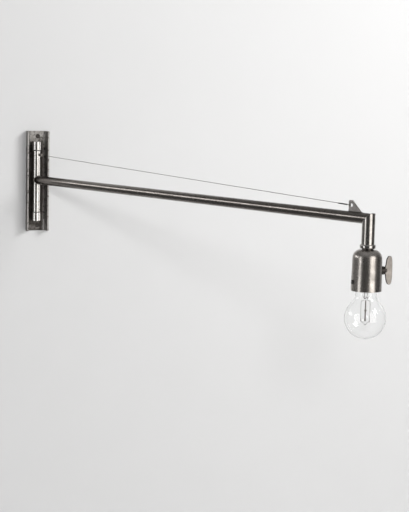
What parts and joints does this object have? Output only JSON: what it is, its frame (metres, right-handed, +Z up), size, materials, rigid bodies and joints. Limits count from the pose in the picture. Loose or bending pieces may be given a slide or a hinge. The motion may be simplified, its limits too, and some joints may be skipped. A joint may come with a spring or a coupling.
{
  "type": "wall lamp",
  "caption": "Long swinging wall lamp: tubular steel arm on a channel bracket, braced by a thin stay cable, with a drop tube, key-switched socket cup and clear bulb.",
  "frame": {"origin": "centre of the wall channel's back face, where it meets the wall", "axes": "+Z up, +Y into the wall, the room toward -Y, +X to the right for a person facing the wall"},
  "size_m": [0.4045, 0.8177, 0.2615],
  "materials": {
    "bracket_steel": "burnished raw steel, mottled grey",
    "screw_steel": "blackened steel screw",
    "rubber": "black rubber",
    "boss_steel": "burnished steel, satin to bright",
    "pin_steel": "turned steel",
    "bush_brass": "sintered bronze bearing",
    "washer_nylon": "black nylon",
    "arm_steel": "burnished antique steel with fine specks",
    "dark_steel": "blackened steel",
    "cable_steel": "stranded steel cable",
    "wire_insulation": "insulated wire",
    "fitting_steel": "plated steel fitting",
    "cup_steel": "burnished steel, bright bands and dark specks",
    "holder_porcelain": "glazed porcelain",
    "contact_brass": "bright brass",
    "drum_plastic": "moulded insulating drum",
    "key_steel": "satin burnished steel",
    "bulb_clear": "clear glass",
    "stem_clear": "clear stem glass",
    "cap_metal": "bulb cap metal",
    "cap_black_glass": "black insulating glass",
    "tip_solder": "solder tip",
    "lead_metal": "fine metal wire"
  },
  "bodies": {
    "bracket": {"wall_channel": "bracket_steel", "wall_screws": "screw_steel", "web_grommet": "rubber", "upper_collar": "boss_steel", "lower_collar": "boss_steel", "upper_pin": "pin_steel", "lower_pin": "pin_steel", "lower_washer": "washer_nylon"},
    "arm": {"pivot_tube": "boss_steel", "upper_bush": "bush_brass", "lower_bush": "bush_brass", "upper_washer": "washer_nylon", "arm_tube": "arm_steel", "drop_tube": "arm_steel", "cable_lug": "arm_steel", "stay_anchor": "dark_steel", "stay_cable": "cable_steel", "stay_ferrule": "dark_steel", "stay_eye": "cable_steel", "lamp_wires": "wire_insulation", "drop_plug": "fitting_steel", "thread_nipple": "fitting_steel", "collar_ring": "arm_steel", "neck_spacer": "arm_steel", "socket_cup": "cup_steel", "cup_set_screw": "screw_steel", "nipple_nut": "fitting_steel", "holder_cap": "holder_porcelain", "holder_body": "holder_porcelain", "screw_shell": "contact_brass", "centre_contact": "contact_brass", "terminal_screws": "contact_brass", "switch_leaf": "contact_brass", "switch_bush": "dark_steel"},
    "key": {"key_shaft": "pin_steel", "switch_drum": "drum_plastic", "key_wing": "key_steel"},
    "bulb": {"bulb_glass": "bulb_clear", "bulb_cap": "cap_metal", "cap_insulator": "cap_black_glass", "tip_contact": "tip_solder", "glass_stem": "stem_clear", "support_rod": "stem_clear", "lead_wires": "lead_metal", "filament_hooks": "lead_metal", "filament": "lead_metal"}
  },
  "joints": [
    {"name": "arm_swing", "type": "hinge", "parent": "bracket", "child": "arm", "pos_m": [-0.002, -0.012, 0.0025], "axis": [0, 0, 1], "range_deg": [-58, 18]},
    {"name": "key_turn", "type": "hinge", "parent": "arm", "child": "key", "pos_m": [0.34455, -0.75517, -0.0717], "axis": [0.9976, 0.0698, 0], "continuous": true},
    {"name": "bulb_removal", "type": "slide", "parent": "arm", "child": "bulb", "axis": [0, 0, -1], "range_m": [0, 0.045]}
  ]
}
